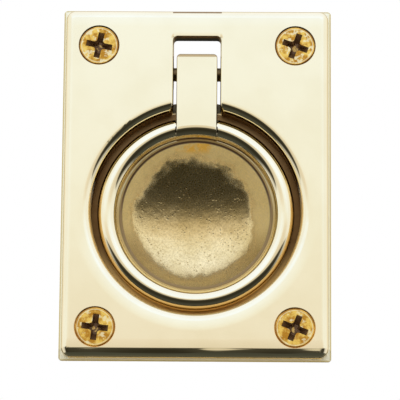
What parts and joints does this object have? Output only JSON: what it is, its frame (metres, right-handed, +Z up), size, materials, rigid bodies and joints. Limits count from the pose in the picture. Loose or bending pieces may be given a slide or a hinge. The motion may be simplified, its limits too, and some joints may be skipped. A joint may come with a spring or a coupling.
{
  "type": "ring pull handle",
  "caption": "Flush ring pull: a brass plate with a round cup, a ring on a flat stem lying level in it, and a hinge pin behind a slot; it is screwed over a mortise.",
  "frame": {"origin": "centre of the four screws, on the back face of the plate, which lies on the door or drawer front", "axes": "+Z up the plate towards the hinge, -Y out of the face towards the user, +Y into the wood, +X to the right"},
  "size_m": [0.0636, 0.0193, 0.0846],
  "materials": {
    "plate_brass": "polished and lacquered, cast satin in the dish",
    "ring_brass": "polished and lacquered",
    "pin_brass": "drawn, satin",
    "screw_brass": "satin"
  },
  "bodies": {
    "plate": {"backplate": "plate_brass", "hinge_pin": "pin_brass", "screw_top_left": "screw_brass", "screw_top_right": "screw_brass", "screw_bottom_left": "screw_brass", "screw_bottom_right": "screw_brass"},
    "pull_ring": {"ring": "ring_brass"}
  },
  "joints": [
    {"name": "ring_hinge", "type": "hinge", "parent": "plate", "child": "pull_ring", "pos_m": [0, -0.0008, 0.02757], "axis": [-1, 0, 0], "range_deg": [0, 135]}
  ]
}
